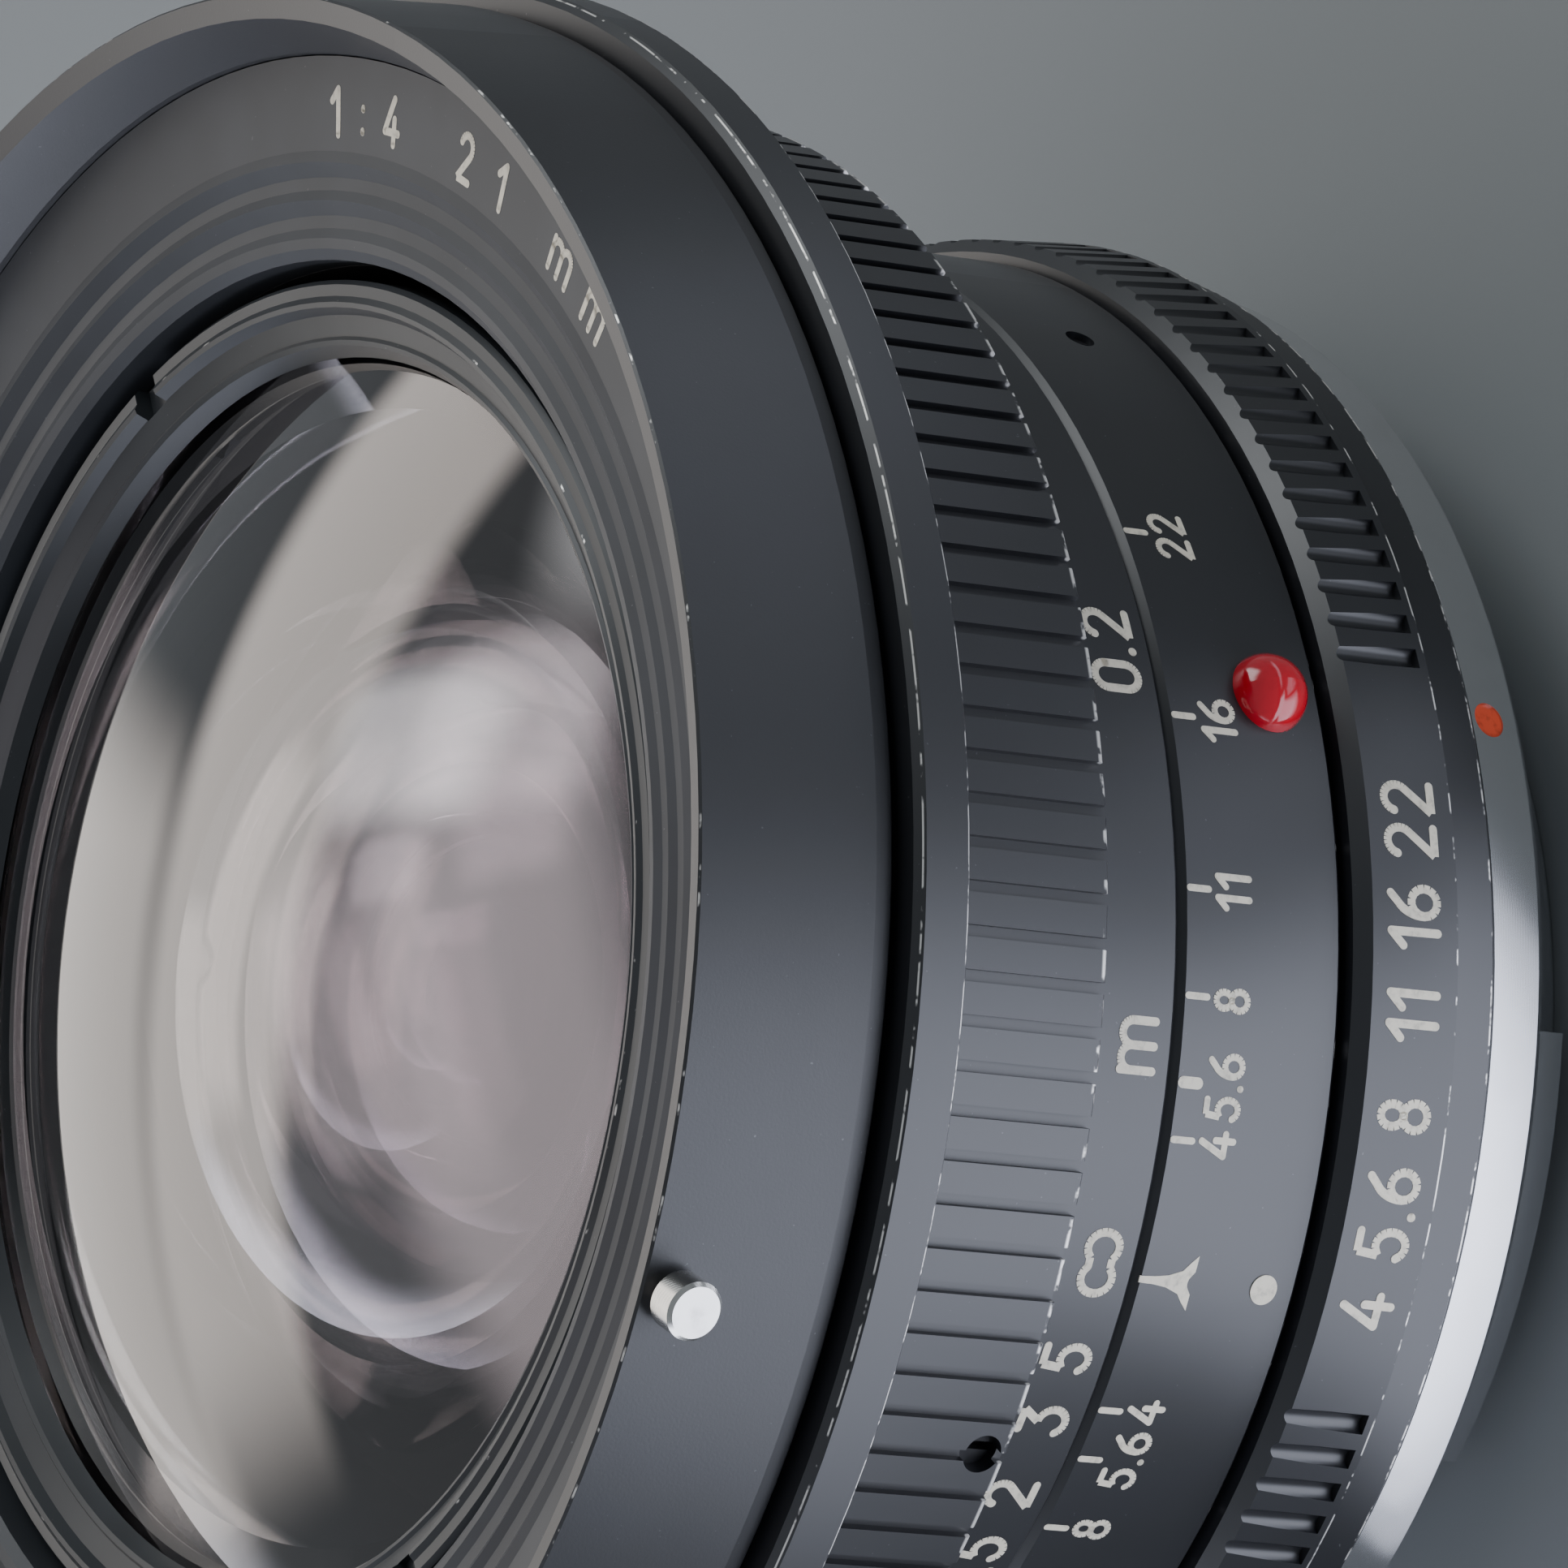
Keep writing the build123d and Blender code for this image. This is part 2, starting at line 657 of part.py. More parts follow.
def iris_blade(blade):
    """Crescent blade with a pivot pin below and a drive pin above, each blade at its own height."""
    low = BLADE_FIRST_Z + BLADE_PITCH * blade
    crescent = sector(BLADE_INNER_R, BLADE_OUTER_R, low, low + BLADE_THICKNESS, -4.0, BLADE_SWEEP_DEG)
    lobe_outline = [(8.2, -0.6), (13.0, -1.2), (14.0, 0.0), (13.6, 1.0), (12.3, 3.8), (8.0, 3.8)]
    lobe = extrude(Plane.XY.offset(low) * make_face(Polyline(lobe_outline, close=True)), BLADE_THICKNESS)
    body = crescent + lobe
    pivot_low = IRIS_Z[0] + FIT
    pivot = Cylinder(PIVOT_PIN_R, low - pivot_low + STEP)
    body += Pos(BLADE_PIVOT_R, 0, (pivot_low + low + STEP) / 2) * pivot
    drive_high = DRIVE_RING_Z[1] - FIT
    drive_low = low + BLADE_THICKNESS - STEP
    drive = Cylinder(DRIVE_PIN_R, drive_high - drive_low)
    body += Pos(*DRIVE_PIN_AT, (drive_low + drive_high) / 2) * drive
    return iris_pivot(blade) * body


def drive_pin_path(points=9):
    """Where a blade's drive pin goes, seen from the drive ring, as the iris closes."""
    arm_x = DRIVE_PIN_AT[0] - BLADE_PIVOT_R
    arm_y = DRIVE_PIN_AT[1]
    path = []
    for step in range(points):
        share = (step - 0.4) / (points - 1.8)
        blade_turn = radians(BLADE_TURN_DEG * share)
        x = BLADE_PIVOT_R + arm_x * cos(blade_turn) - arm_y * sin(blade_turn)
        y = arm_x * sin(blade_turn) + arm_y * cos(blade_turn)
        ring_turn = radians(APERTURE_TRAVEL_DEG * share)
        path.append((x * cos(ring_turn) - y * sin(ring_turn), x * sin(ring_turn) + y * cos(ring_turn)))
    return path


def iris_drive_ring():
    """Ring whose six cam slots swing the blades; its tab reaches out to the aperture ring's pin."""
    low, high = DRIVE_RING_Z
    body = tube(*DRIVE_RING_R, low, high)
    start = INDEX_DEG + LINK_MARK - TAB_HALF_DEG
    body += sector(DRIVE_RING_R[1] - 0.5, 20.0, low, high, start, start + 2 * TAB_HALF_DEG)
    fork = block(LINK_PIN_AT_R - LINK_PIN_R - 0.2, 21.0, 2 * (LINK_PIN_R + FIT), low - 1, high + 1)
    body -= at_mark(fork, LINK_MARK)
    slot_r = DRIVE_PIN_R + FIT
    path = drive_pin_path()
    slot = Part()
    for first, last in zip(path[:-1], path[1:]):
        length = hypot(last[0] - first[0], last[1] - first[1])
        angle = degrees(atan2(last[1] - first[1], last[0] - first[0]))
        run = Box(length, 2 * slot_r, 2.0) + Pos(length / 2, 0, 0) * Cylinder(slot_r, 2.0)
        middle = ((first[0] + last[0]) / 2, (first[1] + last[1]) / 2, low + 0.3)
        slot += Pos(*middle) * Rot(0, 0, angle) * run
    for blade in range(BLADES):
        body -= iris_pivot(blade) * slot
    return body


def rear_cell():
    low, high = REAR_CELL_Z
    return turned([
        (9.65, low),
        (REAR_CELL_R - 0.3, low),
        (REAR_CELL_R, low + 0.3),
        (REAR_CELL_R, high),
        (8.05, high),
        (8.05, 4.3),
        (9.05, 4.3),
        (9.05, 0.8),
        (9.65, 0.8),
    ])


def rear_retaining_ring():
    body = turned([(8.9, -2.6), (9.65, -2.6), (9.65, -0.95), (8.6, -0.95)])
    return body - Pos(0, 0, -2.6) * Box(25.0, 1.0, 1.0)


def build():
    os.makedirs("parts", exist_ok=True)
    save("bayonet_mount", bayonet_mount())
    save("mount_screws", Compound([at_mark(mount_screw(), mark) for mark in MOUNT_SCREW_MARKS]))
    save("mount_index_dot", mount_dot())
    save("rear_light_baffle", rear_light_baffle())
    save("rear_barrel", rear_barrel())
    save("focus_keys", Compound(focus_keys()))
    save("click_ball", click_ball())
    save("click_spring", click_spring())
    save("depth_scale_ring", depth_scale_ring())
    save("depth_ring_screws", Compound(depth_ring_screws()))
    save("red_index_bead", red_index_bead())
    save("aperture_index_dot", aperture_index_dot())
    save("aperture_ring", aperture_ring())
    save("aperture_carrier", aperture_carrier())
    save("carrier_screw", carrier_screw())
    save("meter_cam", meter_cam())
    save("iris_link_pin", iris_link_pin())
    save("stop_down_lever", stop_down_lever())
    save("focus_ring", focus_ring())
    save("focus_set_screws", Compound(focus_set_screws()))
    save("helicoid_sleeve", helicoid_sleeve())
    save("front_barrel", front_barrel())
    save("hood_ring", hood_ring())
    save("hood_pins", Compound(hood_pins()))
    save("name_ring", name_ring())
    save("front_retaining_ring", front_retaining_ring())
    save("front_cell", front_cell())
    save("middle_cell", middle_cell())
    save("rear_cell", rear_cell())
    save("rear_retaining_ring", rear_retaining_ring())
    save("iris_housing", iris_housing())
    save("iris_drive_ring", iris_drive_ring())
    for number, dims in enumerate(ELEMENTS, start=1):
        save("glass_element_%d" % number, element(*dims))
    for blade in range(BLADES):
        save("iris_blade_%d" % (blade + 1), iris_blade(blade))


build()
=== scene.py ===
"""Looks of a 21 mm super-wide camera lens: finishes, engraved scales, studio and camera.

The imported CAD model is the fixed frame: +Z is the optical axis, -Y the side of the fixed index,
and the origin the centre of the mount's register face. Lengths are in millimetres, which MM turns
into Blender's metres. Places and sizes in the studio, the camera's place and every name that ends
in _M are in metres. A "mark" is an angle from the index, positive counter-clockwise seen from the
front.
"""

from math import cos, hypot, pi, radians, sin

import bpy
import bmesh
from mathutils import Matrix, Vector


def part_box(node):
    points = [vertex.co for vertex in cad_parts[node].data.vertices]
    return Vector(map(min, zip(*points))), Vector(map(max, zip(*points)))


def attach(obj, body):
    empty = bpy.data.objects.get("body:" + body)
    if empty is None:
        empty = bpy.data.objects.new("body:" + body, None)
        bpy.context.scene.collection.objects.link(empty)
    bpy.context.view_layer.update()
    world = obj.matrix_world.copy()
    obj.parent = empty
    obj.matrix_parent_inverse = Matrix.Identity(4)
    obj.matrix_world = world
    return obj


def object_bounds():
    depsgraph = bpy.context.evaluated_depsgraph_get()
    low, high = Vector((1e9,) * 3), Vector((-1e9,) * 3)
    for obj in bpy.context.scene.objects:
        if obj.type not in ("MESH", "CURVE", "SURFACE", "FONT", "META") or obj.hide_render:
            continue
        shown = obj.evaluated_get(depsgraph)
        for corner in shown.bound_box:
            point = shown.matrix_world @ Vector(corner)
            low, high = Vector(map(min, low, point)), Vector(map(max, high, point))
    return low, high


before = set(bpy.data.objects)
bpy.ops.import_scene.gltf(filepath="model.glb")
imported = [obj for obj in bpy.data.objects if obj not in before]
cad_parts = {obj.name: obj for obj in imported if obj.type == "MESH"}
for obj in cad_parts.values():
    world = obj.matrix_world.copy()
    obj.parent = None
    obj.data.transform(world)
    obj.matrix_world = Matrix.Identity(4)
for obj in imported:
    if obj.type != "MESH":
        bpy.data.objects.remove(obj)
cad_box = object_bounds()

MM = 0.001
INDEX_DEG = -90.0


def z_range(node):
    """Lowest and highest z of a node."""
    low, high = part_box(node)
    return low.z / MM, high.z / MM


def outer_r(node):
    """Outer radius of a node that is a ring about the optical axis."""
    low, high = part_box(node)
    return (high.x - low.x) / 2 / MM


# ---- Sizes read from the frame

DEPTH_LOW, DEPTH_HIGH = z_range("depth_scale_ring")
DEPTH_R = outer_r("depth_scale_ring")
APERTURE_LOW = z_range("aperture_ring")[0]
APERTURE_R = outer_r("aperture_ring")
FOCUS_HIGH = z_range("focus_ring")[1]
FOCUS_R = outer_r("focus_ring")
HOOD_LOW, HOOD_HIGH = z_range("hood_ring")
HOOD_R = outer_r("hood_ring")
NAME_HIGH = z_range("name_ring")[1]
NAME_R = outer_r("name_ring")
FLOOR_Z_M = cad_box[0][2]

# ---- Circles that the frame's boxes don't show, each a radius and a height in the part's frame

GRIP_REAR_EDGE = (35.05, 23.8)
FLANGE_REAR_EDGE = (FOCUS_R, 32.8)
FLANGE_FRONT_EDGE = (FOCUS_R - 0.1, FOCUS_HIGH - 0.25)
RIM_EDGE = (37.45, HOOD_HIGH - 0.05)
HOOD_REAR_EDGE = (HOOD_R - 0.15, HOOD_LOW + 0.05)
RETAINER_EDGE = (26.05, 38.83)
DEPTH_REAR_EDGE = (DEPTH_R - 0.15, DEPTH_LOW + 0.1)
APERTURE_STEP = (APERTURE_R, 5.4)
APERTURE_REAR_EDGE = (APERTURE_R - 0.55, APERTURE_LOW + 0.1)
APERTURE_CONE_LOW = (32.2, 5.4)
APERTURE_CONE_HIGH = (31.9, 9.2)
NAME_DISH_IN = (31.75, 40.12)
DISTANCE_BAND_R = 31.0

# ---- Colours

CREAM = (0.80, 0.74, 0.60)
RED = (0.62, 0.004, 0.02)
CORAL = (0.80, 0.09, 0.035)
BLACK = (0.0085, 0.0090, 0.0112)
WORN = (0.78, 0.76, 0.72)


# ---- Materials


class Look:
    """One material's node tree, with short calls for the nodes that every finish here needs."""

    def __init__(self, name):
        self.material = bpy.data.materials.new(name)
        self.material.use_nodes = True
        self.tree = self.material.node_tree
        self.tree.nodes.clear()
        self.out = self.tree.nodes.new("ShaderNodeOutputMaterial")
        self.shader = self.tree.nodes.new("ShaderNodeBsdfPrincipled")
        self.tree.links.new(self.shader.outputs[0], self.out.inputs["Surface"])
        self.place = self.tree.nodes.new("ShaderNodeTexCoord").outputs["Object"]
        self._normal = None
        self._split = None

    def set(self, **values):
        """Sets inputs of the Principled shader, whose names are given with underscores."""
        for key, value in values.items():
            name = key.replace("_", " ").title().replace("Ior", "IOR")
            if isinstance(value, tuple):
                value = (*value, 1.0)
            self.shader.inputs[name].default_value = value
        return self

    def link(self, source, target):
        self.tree.links.new(source, target)

    def feed(self, socket, value):
        """Gives a socket a number, or links another socket to it."""
        if isinstance(value, (int, float)):
            socket.default_value = value
        else:
            self.link(value, socket)

    def math(self, operation, a, b=0.0):
        node = self.tree.nodes.new("ShaderNodeMath")
        node.operation = operation
        for socket, value in zip(node.inputs, (a, b)):
            self.feed(socket, value)
        return node.outputs[0]

    def noise(self, scale, detail=2.0, roughness=0.5):
        """Noise with features about 1 / scale metres wide."""
        node = self.tree.nodes.new("ShaderNodeTexNoise")
        node.inputs["Scale"].default_value = scale
        node.inputs["Detail"].default_value = detail
        node.inputs["Roughness"].default_value = roughness
        self.link(self.place, node.inputs["Vector"])
        return node.outputs["Fac"]

    def ramp(self, value, low, high, to_low=0.0, to_high=1.0):
        """Smooth step from to_low to to_high while the value goes from low to high."""
        node = self.tree.nodes.new("ShaderNodeMapRange")
        node.interpolation_type = "SMOOTHSTEP"
        self.feed(node.inputs["Value"], value)
        for socket, number in zip(list(node.inputs)[1:5], (low, high, to_low, to_high)):
            socket.default_value = number
        return node.outputs["Result"]

    def mix(self, factor, first, second):
        """Colour between the first, at factor 0, and the second, at factor 1."""
        node = self.tree.nodes.new("ShaderNodeMix")
        node.data_type = "RGBA"
        self.feed(node.inputs[0], factor)
        for socket, value in ((node.inputs[6], first), (node.inputs[7], second)):
            if isinstance(value, tuple):
                socket.default_value = (*value, 1.0)
            else:
                self.link(value, socket)
        return node.outputs[2]

    def cylinder_place(self):
        """Sockets of the distance from the optical axis and the height, in millimetres."""
        if self._split is None:
            split = self.tree.nodes.new("ShaderNodeSeparateXYZ")
            self.link(self.place, split.inputs[0])
            x, y, z = split.outputs
            square = self.math("ADD", self.math("MULTIPLY", x, x), self.math("MULTIPLY", y, y))
            radius = self.math("MULTIPLY", self.math("SQRT", square), 1 / MM)
            height = self.math("MULTIPLY", z, 1 / MM)
            self._split = (radius, height)
        return self._split

    def near_circle(self, radius, height, width):
        """1 on a circle about the optical axis, falling to 0 at width millimetres from it."""
        r, z = self.cylinder_place()
        across = self.math("SUBTRACT", r, radius)
        along = self.math("SUBTRACT", z, height)
        across_squared = self.math("MULTIPLY", across, across)
        along_squared = self.math("MULTIPLY", along, along)
        distance = self.math("SQRT", self.math("ADD", across_squared, along_squared))
        return self.ramp(distance, width * 0.55, width, 1.0, 0.0)

    def bump(self, height, strength, distance_mm):
        """Adds fine relief on top of any that is there already."""
        node = self.tree.nodes.new("ShaderNodeBump")
        node.inputs["Strength"].default_value = strength
        node.inputs["Distance"].default_value = distance_mm * MM
        self.link(height, node.inputs["Height"])
        if self._normal is not None:
            self.link(self._normal, node.inputs["Normal"])
        self._normal = node.outputs[0]
        self.link(self._normal, self.shader.inputs["Normal"])
        return self

    def wear(self, edges, clean_color, clean_rough, amount):
        """Bare metal along circular edges, broken up by noise. Each is a radius, a height and a width."""
        total = None
        for radius, height, width in edges:
            ring = self.near_circle(radius, height, width)
            total = ring if total is None else self.math("MAXIMUM", total, ring)
        broken = self.ramp(self.noise(900.0, 3.0, 0.6), 0.62 - 0.3 * amount, 0.70 - 0.3 * amount)
        mask = self.math("MULTIPLY", total, broken)
        self.link(self.mix(mask, clean_color, WORN), self.shader.inputs["Base Color"])
        self.link(self.ramp(mask, 0.0, 1.0, clean_rough, 0.32), self.shader.inputs["Roughness"])
        self.link(self.math("MULTIPLY", mask, 0.5), self.shader.inputs["Metallic"])


def dusty_black(look, base):
    """Black with slow blotches and a few pale specks of dust."""
    blotch = look.ramp(look.noise(160.0, 3.0), 0.3, 0.7)
    lighter = tuple(channel * 1.35 for channel in base)
    color = look.mix(blotch, base, lighter)
    specks = look.ramp(look.noise(5200.0, 1.0), 0.785, 0.81)
    return look.mix(look.math("MULTIPLY", specks, 0.25), color, (0.25, 0.26, 0.27))


def anodised(name, roughness, grain=0.0, grain_mm=0.004, edges=(), amount=0.5, base=BLACK, gloss=0.9):
    """Black anodised metal, worn through to bare metal along the given edges."""
    look = Look(name).set(specular_ior_level=gloss, roughness=roughness)
    color = dusty_black(look, base)
    if edges:
        look.wear(edges, color, roughness, amount)
    else:
        look.link(color, look.shader.inputs["Base Color"])
    if grain:
        look.bump(look.noise(8500.0, 2.0, 0.6), grain, grain_mm)
    look.bump(look.noise(700.0, 2.0), 0.04, 0.01)
    return look.material


def turned_metal(name, color, roughness, rings_mm=0.09, strength=0.15, dirt=0.15):
    """Bright metal with the fine rings that a lathe leaves, and faint stains."""
    look = Look(name).set(metallic=1.0)
    r, z = look.cylinder_place()
    phase = look.math("ADD", r, z)
    fine = look.math("SINE", look.math("MULTIPLY", phase, 2 * pi / rings_mm))
    stains = look.ramp(look.noise(420.0, 4.0, 0.6), 0.45, 0.75)
    darker = tuple(channel * 0.62 for channel in color)
    stained = look.mix(look.math("MULTIPLY", stains, dirt * 3), color, darker)
    look.link(stained, look.shader.inputs["Base Color"])
    look.link(look.ramp(stains, 0.0, 1.0, roughness, roughness + 0.4 * dirt), look.shader.inputs["Roughness"])
    return look.bump(fine, strength, 0.002).material


def blackened(name, roughness=0.45, base=(0.02, 0.02, 0.022)):
    """Chemically blackened steel with faint pale patches."""
    look = Look(name).set(metallic=0.35, specular_ior_level=0.4, roughness=roughness)
    patch = look.noise(900.0, 3.0, 0.6)
    lighter = tuple(channel * 2.2 for channel in base)
    look.link(look.mix(look.ramp(patch, 0.4, 0.75), base, lighter), look.shader.inputs["Base Color"])
    return look.bump(look.noise(5000.0, 2.0), 0.2, 0.003).material


def matt_black(name):
    """Light-absorbing paint with a fine grain."""
    look = Look(name).set(roughness=0.85, specular_ior_level=0.15)
    grain = look.noise(9000.0, 3.0, 0.7)
    color = look.mix(grain, (0.004, 0.004, 0.004), (0.013, 0.013, 0.014))
    look.link(color, look.shader.inputs["Base Color"])
    return look.bump(grain, 0.5, 0.01).material


def paint(name, color, roughness, blot=0.12, coat=0.0):
    """Enamel with slightly darker patches."""
    look = Look(name).set(specular_ior_level=0.4, coat_weight=coat, coat_roughness=0.03, roughness=roughness)
    patch = look.noise(2600.0, 3.0, 0.6)
    darker = tuple(channel * (1 - 3 * blot) for channel in color)
    look.link(look.mix(look.ramp(patch, 0.45, 0.8), color, darker), look.shader.inputs["Base Color"])
    return look.bump(patch, 0.08, 0.01).material


def coated_glass(name, tint, coat_tint, ior, coat=0.0):
    """Clear glass whose thin coating tints what it reflects."""
    look = Look(name).set(transmission_weight=1.0, roughness=0.0, ior=ior, specular_ior_level=0.5)
    look.set(coat_weight=coat, coat_roughness=0.0, coat_ior=2.0)
    haze = look.noise(300.0, 2.0)
    duller = tuple(channel * 0.97 for channel in tint)
    look.link(look.mix(haze, tint, duller), look.shader.inputs["Base Color"])
    look.shader.inputs["Specular Tint"].default_value = (*coat_tint, 1.0)
    return look.material


# ---- Which finish each CAD node takes

SMOOTH = anodised("anodised_smooth", roughness=0.36)
SCALES = anodised(
    "anodised_scale_ring",
    roughness=0.36,
    edges=[(*DEPTH_REAR_EDGE, 0.1)],
    amount=0.1,
)
APERTURE = anodised(
    "anodised_aperture_ring",
    roughness=0.36,
    edges=[
        (*APERTURE_STEP, 0.08),
        (*APERTURE_REAR_EDGE, 0.08),
    ],
    amount=0.45,
)
FOCUS = anodised(
    "anodised_focus_ring",
    roughness=0.4,
    grain=0.2,
    edges=[
        (*GRIP_REAR_EDGE, 0.24),
        (*FLANGE_REAR_EDGE, 0.07),
        (*FLANGE_FRONT_EDGE, 0.045),
    ],
    amount=0.55,
)
BLASTED = anodised(
    "anodised_blasted",
    roughness=0.42,
    grain=0.55,
    grain_mm=0.006,
    edges=[
        (*RIM_EDGE, 0.05),
        (*HOOD_REAR_EDGE, 0.04),
    ],
    amount=0.12,
)
FRONT_RING = anodised("anodised_name_ring", roughness=0.5, grain=0.1, base=(0.030, 0.033, 0.038), gloss=0.5)
INNER = anodised("anodised_inner", roughness=0.5, base=(0.012, 0.012, 0.013))
RETAINER = anodised(
    "anodised_retainer",
    roughness=0.34,
    edges=[(*RETAINER_EDGE, 0.05)],
    amount=0.05,
    base=(0.026, 0.029, 0.032),
    gloss=0.4,
)
MATT = matt_black("black_flocked_paint")
CHROME = turned_metal("satin_chrome", (0.74, 0.74, 0.75), 0.2, dirt=0.05)
STEEL = turned_metal("ground_steel", (0.60, 0.60, 0.61), 0.28)
PIN_STEEL = turned_metal("nickel_pin", (0.72, 0.71, 0.68), 0.24, rings_mm=0.16, strength=0.3, dirt=0.3)
BRASS = turned_metal("turned_brass", (0.62, 0.46, 0.22), 0.3)
DARK_STEEL = blackened("blackened_steel")
BLADE_STEEL = blackened("blade_steel", 0.34, (0.035, 0.034, 0.036))
RED_GLOSS = paint("red_gloss", RED, 0.12, 0.03, coat=1.0)
CORAL_PAINT = paint("coral_enamel", CORAL, 0.3)
CREAM_PAINT = paint("cream_enamel", CREAM, 0.45)
FRONT_GLASS = coated_glass("front_glass", (0.97, 0.92, 0.93), (1.0, 0.84, 0.82), 1.62, coat=0.8)
INNER_GLASS = coated_glass("inner_glass", (0.95, 0.86, 0.89), (1.0, 0.74, 0.79), 1.6, coat=0.7)
REAR_GLASS = coated_glass("rear_glass", (0.97, 0.97, 0.96), (0.9, 0.86, 1.0), 1.6)

finishes = {
    "bayonet_mount": CHROME,
    "mount_screws": STEEL,
    "mount_index_dot": CORAL_PAINT,
    "rear_light_baffle": MATT,
    "rear_barrel": INNER,
    "focus_keys": STEEL,
    "click_ball": STEEL,
    "click_spring": STEEL,
    "depth_scale_ring": SCALES,
    "depth_ring_screws": DARK_STEEL,
    "red_index_bead": RED_GLOSS,
    "aperture_index_dot": CREAM_PAINT,
    "aperture_ring": APERTURE,
    "aperture_carrier": INNER,
    "carrier_screw": STEEL,
    "meter_cam": STEEL,
    "iris_link_pin": STEEL,
    "stop_down_lever": DARK_STEEL,
    "focus_ring": FOCUS,
    "focus_set_screws": DARK_STEEL,
    "helicoid_sleeve": BRASS,
    "front_barrel": INNER,
    "hood_ring": BLASTED,
    "hood_pins": PIN_STEEL,
    "name_ring": FRONT_RING,
    "front_retaining_ring": RETAINER,
    "front_cell": MATT,
    "middle_cell": MATT,
    "rear_cell": SMOOTH,
    "rear_retaining_ring": SMOOTH,
    "iris_housing": MATT,
    "iris_drive_ring": BRASS,
}
for number in range(1, 11):
    glass = REAR_GLASS if number == 10 else INNER_GLASS
    finishes["glass_element_%d" % number] = FRONT_GLASS if number == 1 else glass
for number in range(1, 7):
    finishes["iris_blade_%d" % number] = BLADE_STEEL

for node, material in finishes.items():
    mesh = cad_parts[node].data
    mesh.materials.clear()
    mesh.materials.append(material)


# ---- Engraved numbers, drawn as round-ended strokes


ARC_STEPS = 14


def arc(cx, cy, rx, ry, start, end):
    """Points along an arc of an ellipse, between two angles in degrees."""
    turns = [radians(start + (end - start) * i / ARC_STEPS) for i in range(ARC_STEPS + 1)]
    return [(cx + rx * cos(a), cy + ry * sin(a)) for a in turns]


# Strokes of each character on a body one unit high, with the body's width.
GLYPHS = {
    "0": (0.52, [
        arc(0.26, 0.72, 0.26, 0.28, 0, 180) + arc(0.26, 0.28, 0.26, 0.28, 180, 360) + [(0.52, 0.72)],
    ]),
    "1": (0.26, [[(0.0, 0.74), (0.26, 1.0), (0.26, 0.0)]]),
    "2": (0.52, [arc(0.26, 0.73, 0.25, 0.27, 165, -38) + [(0.0, 0.0), (0.52, 0.0)]]),
    "3": (0.50, [[(0.03, 1.0), (0.47, 1.0), (0.22, 0.62)] + arc(0.22, 0.31, 0.27, 0.31, 80, -150)]),
    "4": (0.58, [[(0.36, 1.0), (0.0, 0.26), (0.58, 0.26)], [(0.40, 0.56), (0.40, 0.0)]]),
    "5": (0.50, [[(0.47, 1.0), (0.09, 1.0), (0.04, 0.56)] + arc(0.23, 0.32, 0.26, 0.32, 122, -150)]),
    "6": (0.52, [
        [(0.40, 1.0)] + arc(0.46, 0.30, 0.46, 0.62, 118, 180) + arc(0.26, 0.28, 0.26, 0.28, 180, 540),
    ]),
    "7": (0.50, [[(0.0, 1.0), (0.50, 1.0), (0.17, 0.0)]]),
    "8": (0.50, [arc(0.25, 0.75, 0.21, 0.25, -90, 270), arc(0.25, 0.26, 0.25, 0.26, 90, 450)]),
    ".": (0.0, [[(0.0, 0.0), (0.0, 0.012)]]),
    ":": (0.0, [[(0.0, 0.12), (0.0, 0.13)], [(0.0, 0.62), (0.0, 0.63)]]),
    "m": (0.92, [
        [(0.0, 0.0), (0.0, 0.72)],
        [(0.0, 0.48)] + arc(0.23, 0.49, 0.23, 0.23, 180, 0) + [(0.46, 0.0)],
        [(0.46, 0.48)] + arc(0.69, 0.49, 0.23, 0.23, 180, 0) + [(0.92, 0.0)],
    ]),
    "inf": (1.16, [
        arc(0.29, 0.40, 0.29, 0.34, 45, 315) + arc(0.87, 0.40, 0.29, 0.34, -135, 135) + [(0.5, 0.64)],
    ]),
}
GLYPH_GAP = 0.30


def text_strokes(text, height):
    """Strokes of a text, centred on x = 0 with its foot on y = 0."""
    names = [text] if text in GLYPHS else list(text)
    strokes = []
    pen = 0.0
    for name in names:
        width, parts = GLYPHS[name]
        strokes += [[((pen + x) * height, y * height) for x, y in part] for part in parts]
        pen += width + GLYPH_GAP
    middle = (pen - GLYPH_GAP) * height / 2
    return [[(x - middle, y) for x, y in stroke] for stroke in strokes]


